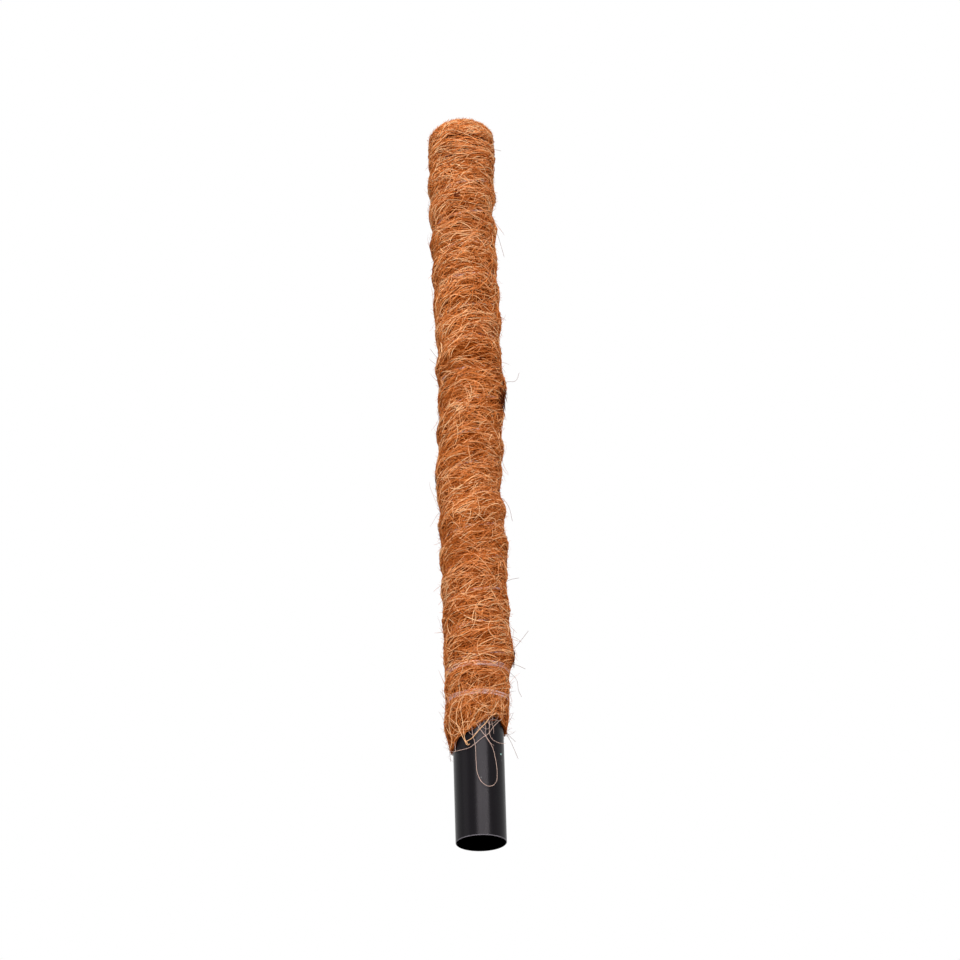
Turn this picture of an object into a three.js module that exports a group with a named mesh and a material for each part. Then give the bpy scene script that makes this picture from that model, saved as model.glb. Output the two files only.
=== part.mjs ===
// A moss pole for climbing plants: a black plastic tube wrapped in coir fibre, closed at the top by a
// coir cap, and bound from top to bottom with one thread. Millimetres, +Z up, the open end of the tube
// at z = 0 and the tube's axis on the Z axis.
import * as THREE from "three";

// Driving dimensions.
const POLE_HEIGHT = 400; // open end of the tube to the top of the cap
const TUBE_DIAMETER = 26;
const TUBE_WALL = 1;
const TUBE_EDGE_CHAMFER = 0.25; // on the outer corner of both sawn ends
const BARE_LENGTH = 54; // tube that is left bare for the soil, at the middle of the slanting coir edge
const EDGE_SLANT = 8; // rise and fall of the coir edge about that height
const COIR_THICKNESS = 4; // tube wall to the crown of the coir between two turns of thread
const GROOVE_DEPTH = 1.1; // how far the thread draws the coir in
const LUMP_HEIGHT = 0.5; // uneven filling of the coir, in and out from the crown
const HEM_LENGTH = 20; // loose coir below the lowest turn of thread, at the middle of the slanting edge
const HEM_INSET = 1.7; // how far the free edge of the hem draws in from the crown
const CAP_HEIGHT = 13.5; // seat of the cap on the sleeve to the top of the dome
const CAP_COVER = 8; // coir between the tube's top end and the top of the dome
const CAP_ROUND_HEIGHT = 3.5; // bulge of the cap above its seat
const PLUG_DEPTH = 15; // stuffing of the cap inside the tube
const THREAD_DIAMETER = 0.8;
const THREAD_PITCH = 17.5;
const TIE_PITCH = 1.5; // pitch of the close turns in each tie: one at the top, two at the bottom
const TIE_SPACING = 16.6; // from one of the two lower ties to the other
const TIE_INSET = 1.2; // top of the sleeve to the first turn
const FIT_GAP = 0.3; // running gap wherever two pieces meet

// Counts, and shares that set a shape.
const SIDES = 24; // columns of the sleeve and steps of one turn of thread, so that their corners line up
const TUBE_SIDES = 48;
const RINGS_PER_PITCH = 6;
const CAP_RINGS = 10;
const THREAD_SIDES = 6;
const TIE_TURNS = 2;
const STEP_TURNS = 0.6; // part of a turn in which the thread steps down between the two lower ties
const PITCH_CHANGE_TURNS = 0.25; // part of a turn over which one pitch eases into the next
const CAP_ROUNDNESS = 2.3; // 2 is an ellipse, more is a flatter top with a rounder shoulder
const SLOW_LUMP_PITCHES = 8.8; // wavelengths of the uneven filling, in turns of thread
const QUICK_LUMP_PITCHES = 5;
const SLOW_LUMP_SHARE = 0.6;
const HEM_CROWN_SHARE = 0.5; // where the hem is fullest, from the lowest turn to the free edge

// Heights and radii that follow from them.
const tubeRadius = TUBE_DIAMETER / 2;
const boreRadius = tubeRadius - TUBE_WALL;
const tubeTop = POLE_HEIGHT - CAP_COVER;
const sleeveBore = tubeRadius + FIT_GAP;
const sleeveTop = POLE_HEIGHT - CAP_HEIGHT;
const crownRadius = tubeRadius + COIR_THICKNESS;
const grooveRadius = crownRadius - GROOVE_DEPTH;
const threadRadius = THREAD_DIAMETER / 2;
const windingRadius = grooveRadius + FIT_GAP + threadRadius;
const windingTop = sleeveTop - TIE_INSET;
const windingBottom = BARE_LENGTH + HEM_LENGTH;

// The winding has a whole number of turns, and its main pitch is the nearest one that fits them.
const tieDrop = TIE_TURNS * TIE_PITCH;
const mainSpan = windingTop - windingBottom - TIE_SPACING - 2 * tieDrop;
const windingTurns = Math.round(mainSpan / THREAD_PITCH + 3 * TIE_TURNS + STEP_TURNS);
const mainTurns = windingTurns - 3 * TIE_TURNS - STEP_TURNS;
const mainPitch = mainSpan / mainTurns;
const stretches = [
  { turns: TIE_TURNS, pitch: TIE_PITCH },
  { turns: mainTurns, pitch: mainPitch },
  { turns: TIE_TURNS, pitch: TIE_PITCH },
  { turns: STEP_TURNS, pitch: (TIE_SPACING - tieDrop) / STEP_TURNS },
  { turns: TIE_TURNS, pitch: TIE_PITCH },
];

const coir = new THREE.MeshStandardMaterial({ color: 0xb56e42, roughness: 0.95, metalness: 0 });
const blackPlastic = new THREE.MeshStandardMaterial({ color: 0x1d1c1e, roughness: 0.38, metalness: 0 });
const paleThread = new THREE.MeshStandardMaterial({ color: 0xdcc6cc, roughness: 0.45, metalness: 0 });

const turn = (share) => share * 2 * Math.PI;

// Zero up to x = 0, then a slope that grows to 1 over the given width and stays there.
function easedRamp(x, width) {
  if (x <= 0) return 0;
  return x < width ? (x * x) / (2 * width) : x - width / 2;
}

// Height of the thread after a number of turns, counted down from its upper end.
function threadHeight(turns) {
  let drop = stretches[0].pitch * turns;
  let start = 0;
  for (let i = 1; i < stretches.length; i += 1) {
    start += stretches[i - 1].turns;
    const change = stretches[i].pitch - stretches[i - 1].pitch;
    drop += change * easedRamp(turns - start + PITCH_CHANGE_TURNS / 2, PITCH_CHANGE_TURNS);
  }
  return windingTop - drop;
}

// Height of the coir's free lower edge round the tube: lowest on the -X side.
const hemEdge = (angle) => BARE_LENGTH + EDGE_SLANT * Math.cos(angle);

// Uneven filling of the wrap, between -1 and 1.
function lump(angle, z) {
  const slow = Math.sin(2 * angle + turn(z / (SLOW_LUMP_PITCHES * THREAD_PITCH)));
  const quick = Math.sin(turn(z / (QUICK_LUMP_PITCHES * THREAD_PITCH)) - angle);
  return SLOW_LUMP_SHARE * slow + (1 - SLOW_LUMP_SHARE) * quick;
}

// Outer radius of the sleeve. The coir swells between two turns of thread and is drawn in under each.
// The thread winds down against the angle, so its turns rise to the right when seen from outside.
function sleeveRadius(angle, z) {
  const first = 1 - angle / (2 * Math.PI);
  let above = windingTop;
  for (let turns = first; turns <= windingTurns; turns += 1) {
    const below = threadHeight(turns);
    if (z > below) {
      const share = (above - z) / (above - below);
      const filling = Math.min(1, (above - below) / mainPitch) ** 2;
      const swell = filling * Math.sin(Math.PI * Math.max(0, share)) ** 2;
      return grooveRadius + swell * (GROOVE_DEPTH + LUMP_HEIGHT * lump(angle, z));
    }
    above = below;
  }
  const share = (above - z) / (above - hemEdge(angle));
  if (share < HEM_CROWN_SHARE) {
    return grooveRadius + GROOVE_DEPTH * Math.sin(((Math.PI / 2) * share) / HEM_CROWN_SHARE) ** 2;
  }
  return crownRadius - HEM_INSET * ((share - HEM_CROWN_SHARE) / (1 - HEM_CROWN_SHARE)) ** 2;
}

// Closed surface through rings of points, each ring as long as the others, joined in a loop: the last
// ring meets the first. Every ring runs the same way round, with outside on its left.
function closedLoft(rings) {
  const points = rings.flat();
  const around = rings[0].length;
  const faces = [];
  rings.forEach((ring, i) => {
    const here = i * around;
    const next = ((i + 1) % rings.length) * around;
    ring.forEach((point, j) => {
      const k = (j + 1) % around;
      faces.push(here + j, here + k, next + k);
      faces.push(here + j, next + k, next + j);
    });
  });
  const geometry = new THREE.BufferGeometry().setFromPoints(points);
  geometry.setIndex(faces);
  geometry.computeVertexNormals();
  return geometry;
}

function onCylinder(radius, angle, z) {
  return new THREE.Vector3(radius * Math.cos(angle), radius * Math.sin(angle), z);
}

function coreTube() {
  const outer = tubeRadius - TUBE_EDGE_CHAMFER;
  const profile = [
    new THREE.Vector2(boreRadius, 0),
    new THREE.Vector2(outer, 0),
    new THREE.Vector2(tubeRadius, TUBE_EDGE_CHAMFER),
    new THREE.Vector2(tubeRadius, tubeTop - TUBE_EDGE_CHAMFER),
    new THREE.Vector2(outer, tubeTop),
    new THREE.Vector2(boreRadius, tubeTop),
    new THREE.Vector2(boreRadius, 0),
  ];
  return new THREE.LatheGeometry(profile, TUBE_SIDES).rotateX(Math.PI / 2);
}

function coirSleeve() {
  const ringCount = Math.ceil(((sleeveTop - BARE_LENGTH) / mainPitch) * RINGS_PER_PITCH);
  const columns = Array.from({ length: SIDES }, (_, j) => turn(j / SIDES));
  const heightAt = (angle, share) => hemEdge(angle) + share * (sleeveTop - hemEdge(angle));
  const ringAt = (share, radiusAt) =>
    columns.map((angle) => {
      const z = heightAt(angle, share);
      return onCylinder(radiusAt(angle, z), angle, z);
    });
  const rings = [];
  for (let i = 0; i <= ringCount; i += 1) rings.push(ringAt(i / ringCount, sleeveRadius));
  const boreAt = () => sleeveBore;
  rings.push(ringAt(1, boreAt));
  rings.push(ringAt(0, boreAt));
  return closedLoft(rings);
}

function coirCap() {
  const seat = sleeveTop + FIT_GAP;
  const tubeSeat = tubeTop + FIT_GAP;
  const plugRadius = boreRadius - FIT_GAP;
  const shoulder = seat + CAP_ROUND_HEIGHT;
  const profile = [
    new THREE.Vector2(0, tubeTop - PLUG_DEPTH),
    new THREE.Vector2(plugRadius, tubeTop - PLUG_DEPTH),
    new THREE.Vector2(plugRadius, tubeSeat),
    new THREE.Vector2(sleeveBore, tubeSeat),
    new THREE.Vector2(sleeveBore, seat),
    new THREE.Vector2(grooveRadius, seat),
  ];
  for (let i = 1; i <= CAP_RINGS / 2; i += 1) {
    const share = i / (CAP_RINGS / 2);
    const swell = Math.sin((Math.PI / 2) * share);
    profile.push(new THREE.Vector2(grooveRadius + GROOVE_DEPTH * swell, seat + CAP_ROUND_HEIGHT * share));
  }
  for (let i = 1; i < CAP_RINGS; i += 1) {
    const radius = crownRadius * Math.cos(((Math.PI / 2) * i) / CAP_RINGS);
    const rise = (1 - (radius / crownRadius) ** CAP_ROUNDNESS) ** (1 / CAP_ROUNDNESS);
    profile.push(new THREE.Vector2(radius, shoulder + (POLE_HEIGHT - shoulder) * rise));
  }
  profile.push(new THREE.Vector2(0, POLE_HEIGHT));
  return new THREE.LatheGeometry(profile, SIDES).rotateX(Math.PI / 2);
}

// Centre line of the thread, from its upper end down. Both ends run straight on for one diameter.
function threadLine() {
  const line = [];
  for (let step = 0; step <= windingTurns * SIDES; step += 1) {
    const turns = step / SIDES;
    line.push(onCylinder(windingRadius, -turn(turns), threadHeight(turns)));
  }
  const tail = (end, before) => end.clone().add(end.clone().sub(before).setLength(THREAD_DIAMETER));
  line.unshift(tail(line[0], line[1]));
  line.push(tail(line[line.length - 1], line[line.length - 2]));
  return line;
}

// Least gap between two stretches of the thread that lie half a turn or more apart along it.
function leastGap(line) {
  let least = Infinity;
  for (let i = 0; i < line.length; i += 1) {
    for (let j = i + SIDES / 2; j < line.length; j += 1) {
      least = Math.min(least, line[i].distanceTo(line[j]));
    }
  }
  return least - THREAD_DIAMETER;
}

function bindingThread() {
  const line = threadLine();
  const gap = leastGap(line).toFixed(2);
  console.log(`thread: ${windingTurns} turns, least gap to itself ${gap} mm`);
  const points = [];
  line.forEach((centre, i) => {
    const before = line[Math.max(0, i - 1)];
    const after = line[Math.min(line.length - 1, i + 1)];
    const along = after.clone().sub(before).normalize();
    const outward = new THREE.Vector3(centre.x, centre.y, 0).normalize();
    outward.addScaledVector(along, -outward.dot(along)).normalize();
    const across = along.clone().cross(outward);
    for (let side = 0; side < THREAD_SIDES; side += 1) {
      const angle = turn(side / THREAD_SIDES);
      const point = centre.clone().addScaledVector(outward, threadRadius * Math.cos(angle));
      points.push(point.addScaledVector(across, threadRadius * Math.sin(angle)));
    }
  });
  const last = line.length - 1;
  points.push(line[0], line[last]);
  const startCentre = points.length - 2;
  const endCentre = points.length - 1;
  const faces = [];
  for (let side = 0; side < THREAD_SIDES; side += 1) {
    const next = (side + 1) % THREAD_SIDES;
    for (let i = 0; i < last; i += 1) {
      const here = i * THREAD_SIDES;
      const there = here + THREAD_SIDES;
      faces.push(here + side, here + next, there + next);
      faces.push(here + side, there + next, there + side);
    }
    faces.push(startCentre, next, side);
    faces.push(endCentre, last * THREAD_SIDES + side, last * THREAD_SIDES + next);
  }
  const geometry = new THREE.BufferGeometry().setFromPoints(points);
  geometry.setIndex(faces);
  geometry.computeVertexNormals();
  return geometry;
}

function piece(name, geometry, material) {
  const mesh = new THREE.Mesh(geometry, material);
  mesh.name = name;
  return mesh;
}

const mossPole = new THREE.Group();
mossPole.add(
  piece("core_tube", coreTube(), blackPlastic),
  piece("coir_sleeve", coirSleeve(), coir),
  piece("coir_top_cap", coirCap(), coir),
  piece("binding_thread", bindingThread(), paleThread),
);

export default mossPole;
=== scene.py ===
"""Dresses a moss pole: a black plastic tube wrapped in coir fibre, capped with coir and bound with thread.

The file is laid out as an add-on and is run as a script. Lengths are in metres, +Z is up, the tube's axis
is the Z axis, its open end lies at z = 0, and the front of the pole faces -Y.
"""

import itertools
import math
import random
from types import SimpleNamespace

import bmesh
import bpy
from bpy.props import FloatProperty, FloatVectorProperty, IntProperty, PointerProperty
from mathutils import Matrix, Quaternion, Vector


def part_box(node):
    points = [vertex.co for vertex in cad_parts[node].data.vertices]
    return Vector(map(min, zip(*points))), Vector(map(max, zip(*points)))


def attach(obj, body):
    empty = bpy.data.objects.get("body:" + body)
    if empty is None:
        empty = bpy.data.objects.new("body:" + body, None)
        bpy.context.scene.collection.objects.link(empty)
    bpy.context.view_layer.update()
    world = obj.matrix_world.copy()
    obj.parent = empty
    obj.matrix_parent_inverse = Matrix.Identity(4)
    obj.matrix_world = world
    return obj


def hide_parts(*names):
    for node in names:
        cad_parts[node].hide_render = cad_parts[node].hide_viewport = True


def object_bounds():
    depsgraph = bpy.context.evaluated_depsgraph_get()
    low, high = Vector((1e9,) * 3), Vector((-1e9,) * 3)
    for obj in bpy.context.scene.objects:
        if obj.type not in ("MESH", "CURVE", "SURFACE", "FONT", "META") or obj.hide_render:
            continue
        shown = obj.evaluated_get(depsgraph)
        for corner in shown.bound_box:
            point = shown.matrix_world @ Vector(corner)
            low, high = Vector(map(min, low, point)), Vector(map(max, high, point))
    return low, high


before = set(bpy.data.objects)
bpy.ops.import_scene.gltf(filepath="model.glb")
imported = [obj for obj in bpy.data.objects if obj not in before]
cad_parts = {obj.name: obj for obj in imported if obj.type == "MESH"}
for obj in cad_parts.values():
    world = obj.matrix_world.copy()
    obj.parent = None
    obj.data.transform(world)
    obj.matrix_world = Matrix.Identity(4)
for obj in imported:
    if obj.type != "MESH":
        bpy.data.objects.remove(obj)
CAD_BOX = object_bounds()

bl_info = {
    "name": "Moss Pole",
    "version": (1, 0, 0),
    "blender": (4, 5, 0),
    "location": "View3D > Sidebar > Moss Pole",
    "description": "Dresses a coir moss pole: tube, coir mats and fibres, binding thread and stage",
    "category": "Add Mesh",
}

MM = 0.001
FULL_TURN = 2 * math.pi
BODY = "root"
TONE = "tone"  # attribute of a fibre: 0 is the darkest coir, 1 the palest
BAKE_MAP = "OFBake"  # UV map with a cell for each face

TUBE_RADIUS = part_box("core_tube")[1].x
TUBE_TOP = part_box("core_tube")[1].z
SLEEVE_LOW, SLEEVE_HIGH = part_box("coir_sleeve")
SLEEVE_TOP = SLEEVE_HIGH.z
CROWN_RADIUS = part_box("coir_top_cap")[1].x
POLE_TOP = CAD_BOX[1].z
EDGE_SLANT = 8 * MM  # rise and fall of the coir's free edge, highest on the +X side
BARE_LENGTH = SLEEVE_LOW.z + EDGE_SLANT
HEM_RADIUS = CROWN_RADIUS - 3 * MM  # where fibres hang that reach below the free edge
HEM_TUCK = 0.8  # share of its thickness by which the coir is drawn in at the free edge
LAID_SLANT = 5.7 * MM  # rise and fall of the fibres that are laid near that edge
SLANT_REACH = 70 * MM  # how far above the edge fibres still follow its slant
EDGE_FLOOR, EDGE_SPAN = 40 * MM, 30 * MM  # heights between which the free edge lies once it is laid
FREE_EDGE = (  # its angle in degrees and height in millimetres
    (-180, 48.2), (-154, 48.4), (-146, 51), (-138, 52.8), (-124, 54), (-106, 56.3), (-90, 58.2), (-76, 61.2),
    (-60, 63.4), (-47, 64.4), (-37, 63.2), (-27, 61.4), (-18, 59.8), (0, 59.2), (90, 53), (180, 48.2),
)
FOLD_ROUND = 0.8 * MM  # how softly fibres turn back at the free edge
DOME_CENTRE = SLEEVE_TOP - 1 * MM  # fibres on the cap are cast towards this point of the axis
FAR = 60 * MM  # from which fibres are cast onto the mats
RECIPES = {}  # node trees that more than one piece is made with


# Settings


def linear(red, green, blue):
    """A colour as it looks on a screen, from 0 to 255, as the shaders take it."""
    shares = [value / 255 for value in (red, green, blue)]
    return [s / 12.92 if s <= 0.04045 else ((s + 0.055) / 1.055) ** 2.4 for s in shares]


def length(name, description, millimetres):
    return FloatProperty(
        name=name, description=description, default=millimetres * MM, unit="LENGTH", precision=5
    )


def angle(name, description, degrees):
    return FloatProperty(
        name=name, description=description, default=math.radians(degrees), subtype="ANGLE"
    )


def share(name, description, value):
    return FloatProperty(name=name, description=description, default=value, subtype="FACTOR")


def number(name, description, value):
    return FloatProperty(name=name, description=description, default=value)


def count(name, description, value):
    return IntProperty(name=name, description=description, default=value, min=0)


def colour(name, description, red, green, blue):
    return FloatVectorProperty(
        name=name, description=description, default=linear(red, green, blue), subtype="COLOR", min=0, max=1
    )


# What can be set for a piece of fibres: kind, name, description and usual value.
FIBRE_FIELDS = {
    "count": (count, "Count", "How many fibres", 1000),
    "points": (count, "Points", "Points along one fibre", 11),
    "bundle": (count, "Bundle", "Fibres that lie together in one bundle", 1),
    "bundle_width": (length, "Bundle Width", "How far the fibres of a bundle lie apart", 0),
    "bundle_lift": (length, "Bundle Lift", "How much the height of whole bundles varies", 0),
    "low": (length, "Low", "Lowest place: a height on the sleeve, a distance from the top on the cap", 54),
    "high": (length, "High", "Highest place, or the greatest distance from the top on the cap", 386),
    "length": (length, "Length", "Length of a fibre", 30),
    "length_spread": (share, "Length Spread", "How much that length varies", 0.4),
    "thickness": (length, "Thickness", "Radius of a fibre", 0.17),
    "thickness_spread": (share, "Thickness Spread", "How much that radius varies", 0.3),
    "taper": (share, "Taper", "How much a fibre thins at its ends", 0.7),
    "slope": (angle, "Slope", "Mean rise of the fibres to the right", 12),
    "slope_spread": (angle, "Slope Spread", "How much the rise varies among bundles", 24),
    "fray": (angle, "Fray", "How much the rise varies within a bundle", 10),
    "turn": (angle, "Turn", "Mean bend of a fibre from end to end", 0),
    "turn_spread": (angle, "Turn Spread", "How much the bend varies", 60),
    "wave": (length, "Wave", "Height of the waves along a fibre", 0.35),
    "wave_length": (length, "Wave Length", "Length of those waves", 12),
    "weave": (length, "Weave", "How far a fibre rises and dives along its length", 0.2),
    "lift": (length, "Lift", "Mean height above the mat", 0.25),
    "lift_spread": (length, "Lift Spread", "How much that height varies", 0.35),
    "tuck": (length, "Tuck", "How deep the ends dive into the mat", 0.5),
    "rise": (length, "Rise", "How far the tip of a fibre stands off", 0),
    "overhang": (length, "Overhang", "How far fibres may reach below the free edge", 1.2),
    "least": (length, "Least Radius", "Fibres lie at least this far from the axis", 0),
    "arch": (length, "Arch", "How much higher fibres lie in front than at the sides", 0),
    "tone_low": (number, "Tone Low", "Darkest tone", 0.2),
    "tone_high": (number, "Tone High", "Palest tone", 0.9),
    "seed": (count, "Seed", "Start of the random draws", 1),
}
# The same for a piece whose fibres are laid one by one.
HAND_FIELDS = {
    "thickness": (length, "Thickness", "Radius of a fibre", 0.08),
    "tone": (number, "Tone", "Tone of the fibres", 1),
    "lift": (length, "Lift", "Height above the mat of fibres that lie on it", 0),
}


# Bands of the wrap from the hem up: slope and its spread in degrees, arch, wave and length of the fibres in
# millimetres, shift of their tone.
WRAP_BANDS = (
    (9, 40, 0, 0.18, 30, 0.01),
    (13, 46, 2.5, 0.18, 26, -0.02),
    (13, 50, 2, 0.18, 25, -0.04),
    (12, 56, 4.5, 0.22, 23, 0.03),
    (8, 56, 4, 0.25, 21, 0.06),
)
WRAP_LOW, WRAP_HIGH = 70, 387  # heights between which the bands lie, in millimetres
BAND_HEIGHT = (WRAP_HIGH - WRAP_LOW) / len(WRAP_BANDS)
BAND_FIBRE = 51000  # millimetres of fibre in one band


def wrap_band(i):
    """What differs from the usual values in one band of the wrap."""
    slope, spread, arch, wave, reach, shift = WRAP_BANDS[i]
    low = WRAP_LOW + i * BAND_HEIGHT
    return dict(
        count=round(BAND_FIBRE / reach), points=12, bundle=4, bundle_width=2.0, bundle_lift=0.12,
        low=low, high=low + BAND_HEIGHT, length=reach, thickness=0.19, slope=slope, slope_spread=spread,
        fray=24, turn_spread=230, wave=wave, wave_length=13, weave=0.42, lift=0.4, lift_spread=0.5, tuck=0.6,
        overhang=1, arch=arch, tone_low=shift - 0.25, tone_high=shift + 1.19, seed=11 + 1000 * i,
    )


# Pieces that are made of fibres, and what differs from the usual values in each.
FIBRES = {
    **{f"coir_wrap_{i + 1}": wrap_band(i) for i in range(len(WRAP_BANDS))},
    "coir_crossing": dict(
        count=1700, points=14, low=66, high=250, length=21, length_spread=0.55, thickness=0.14,
        slope_spread=145, turn_spread=280, wave=0.2, wave_length=14, weave=0.4, lift=0.65,
        lift_spread=0.3, tuck=0.9, tone_low=0, tone_high=1.1, seed=101,
    ),
    "coir_upper_crossing": dict(
        count=1300, points=14, low=250, high=390, length=17, length_spread=0.55, thickness=0.135,
        slope_spread=160, turn_spread=300, wave=0.22, wave_length=12, weave=0.4, lift=0.63,
        lift_spread=0.3, tuck=0.9, tone_low=0, tone_high=1.1, seed=151,
    ),
    "coir_curls": dict(
        count=120, points=18, low=58, high=384, length=22, thickness=0.11, slope_spread=180, turn=240,
        turn_spread=140, lift=0.8, lift_spread=0.3, tuck=0.9, tone_low=0.4, tone_high=0.95, seed=201,
    ),
    # Partly painted shade: the hem's tangle and arcs take lower tones, both for the browner coir at the hem
    # and for the shade in the groove under the lower tie.
    "coir_hem_tangle": dict(
        count=480, points=18, bundle=2, bundle_width=1.5, low=57, high=78, length=28, thickness=0.16,
        slope_spread=150, turn=110, turn_spread=190, wave=0.25, weave=0.4, lift=0.2, lift_spread=0.5,
        tuck=0.4, tone_low=-0.32, tone_high=0.63, seed=301,
    ),
    "coir_hem_arcs": dict(
        count=190, points=20, low=58, high=78, length=30, thickness=0.135, slope_spread=170, turn=110,
        turn_spread=190, wave=0.2, weave=0.3, lift=0.8, lift_spread=0.3, tuck=0.8, overhang=0.8,
        tone_low=0.3, tone_high=1.1, seed=351,
    ),
    "coir_crown_fibres": dict(
        count=360, bundle=4, bundle_width=1.8, bundle_lift=0.2, low=376, high=385.5, length=24,
        thickness=0.2, slope=7, slope_spread=36, fray=22, turn_spread=140, wave=0.22, wave_length=13,
        weave=0.35, lift=0.2, tuck=0.7, least=16.7, tone_low=0, tone_high=1.2, seed=51,
    ),
    "coir_skirt_fibres": dict(
        count=1100, bundle=4, bundle_width=2.0, bundle_lift=0.2, low=5, high=31, length=24,
        thickness=0.19, slope=6, slope_spread=38, fray=24, turn_spread=140, wave=0.22, wave_length=13,
        weave=0.4, lift=0.3, tone_low=0.1, tone_high=1.25, seed=451,
    ),
    "coir_cap_fibres": dict(
        count=420, bundle=5, bundle_width=1.8, bundle_lift=0.2, low=0, high=9, length=16,
        thickness=0.165, slope=90, slope_spread=110, fray=24, turn_spread=120, wave=0.3, weave=0.3,
        lift=0.2, tuck=0.6, tone_low=0, tone_high=1.15, seed=401,
    ),
    "coir_cap_crossing": dict(
        count=260, points=12, low=2, high=13, length=10, thickness=0.13, slope=0, slope_spread=180,
        turn=120, turn_spread=160, lift=0.45, lift_spread=0.3, tuck=0.8, tone_low=0.3, tone_high=1.05,
        seed=501,
    ),
    "coir_fuzz": dict(
        count=3600, points=6, low=56, high=389, length=6.5, length_spread=0.5, thickness=0.07,
        slope_spread=180, turn_spread=140, wave=0.2, wave_length=8, weave=0, lift=0.1, lift_spread=0.2,
        tuck=0, rise=3, overhang=3, tone_low=0.25, tone_high=0.85, seed=601,
    ),
    "coir_cap_fuzz": dict(
        count=1500, points=6, low=0, high=26, length=4.5, length_spread=0.5, thickness=0.095,
        slope_spread=180, turn_spread=120, wave=0.2, wave_length=8, weave=0, lift=0.2, lift_spread=0.2,
        tuck=0, rise=1.9, tone_low=0.3, tone_high=1, seed=651,
    ),
    "coir_strays": dict(
        count=140, points=12, low=50, high=388, length=16, length_spread=0.5, thickness=0.085,
        slope_spread=180, turn_spread=160, wave=0.8, wave_length=14, lift=0.3, tuck=0, rise=6.5,
        overhang=5, tone_low=0.1, tone_high=0.7, seed=701,
    ),
    # Painted shade: the hem strays take dark tones for the shade they hang in below the hem.
    "coir_hem_strays": dict(
        count=120, points=12, low=46, high=84, length=9, length_spread=0.5, thickness=0.065,
        slope_spread=180, turn_spread=160, wave=0.8, wave_length=14, lift=0.3, tuck=0, rise=4.5,
        overhang=5, tone_low=-0.3, tone_high=0.4, seed=751,
    ),
    "husk_flecks": dict(
        count=70, points=4, low=60, high=384, length=4.5, length_spread=0.5, thickness=0.42, slope=14,
        slope_spread=90, wave=0, lift=0.45, lift_spread=0.2, seed=801,
    ),
}
# Pieces whose fibres are laid one by one, and what differs in each.
HAND_LAID = {
    "coir_single_fibres": dict(thickness=0.11, tone=0.95, lift=1.2),
    "coir_hem_loops": dict(lift=0.35),
    "coir_hem_hairs": dict(thickness=0.05, lift=0.3),
    "coir_hem_fibres": dict(thickness=0.14, tone=0.95, lift=1.1),
    "coir_outlying_hairs": dict(tone=0),
}


def piece_settings(piece, fields, changes):
    """The settings of one piece of fibres: the usual values but for the changes."""
    properties = {
        field: kind(name, description, changes.get(field, usual))
        for field, (kind, name, description, usual) in fields.items()
    }
    title = piece.replace("_", " ")
    names = {"__annotations__": properties, "__doc__": f"Sizes of the piece {title}."}
    return type(title.title().replace(" ", "") + "Settings", (bpy.types.PropertyGroup,), names)


class TubeSettings(bpy.types.PropertyGroup):
    """Sizes and colours of the plastic tube."""

    wall: length("Wall", "Thickness of the tube's wall", 1)
    chamfer: length("Chamfer", "Width of the broken outer corners", 0.25)
    sides: count("Sides", "Faces round the tube", 128)
    black: colour("Black", "Colour of the plastic", 6, 5, 7)
    # Partly painted highlight: this paler colour of the roughened cut end also stands in for the light on
    # its rim.
    sawn_rim_and_highlight: colour("Sawn Edge", "Colour of the roughened corner at the sawn end", 116, 112, 118)
    dust: colour("Dust", "Colour of the dust specks", 150, 150, 146)
    # A small pale teal spot in the tube's colour, round one point.
    pale_spot: colour("Pale Spot", "Colour of the flake that sticks to the tube", 170, 214, 205)
    gleam: colour("Gleam", "Tint of the reflections", 255, 246, 252)


class MatSettings(bpy.types.PropertyGroup):
    """Sizes and colours of the felted coir under the fibres."""

    inset: length("Inset", "How deep the mat lies below the wrap's outer surface", 0.5)
    ridge: length("Ridge", "Height of the ridges that bundles make", 0.6)
    gain: share("Groove Gain", "How much deeper the thread cuts than in the solid", 0.2)
    ridge_length: length("Ridge Length", "Length of a ridge along the wrap", 14)
    ridge_width: length("Ridge Width", "Width of a ridge", 3.4)
    # Partly painted shade: the mat is darker than the fibres so that the gaps between them look shaded.
    dark: colour("Dark Coir", "Colour in the depth of the mat", 64, 23, 3)
    pale: colour("Pale Coir", "Colour of the mat's ridges", 118, 53, 12)


class CoirSettings(bpy.types.PropertyGroup):
    """Colours of the fibres."""

    darkest: colour("Darkest", "Fibres of tone 0", 104, 43, 6)
    brown: colour("Brown", "Fibres of tone 0.35", 181, 96, 37)
    tan: colour("Tan", "Fibres of tone 0.7", 224, 142, 79)
    palest: colour("Palest", "Fibres of tone 1", 247, 200, 150)
    bleached: colour("Bleached", "Thin fibres that hang below the hem", 242, 206, 190)
    husk: colour("Husk", "Flecks of dry husk", 94, 41, 19)
    dulling: colour("Dulling", "Tint of the duller patches", 236, 226, 222)


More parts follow.
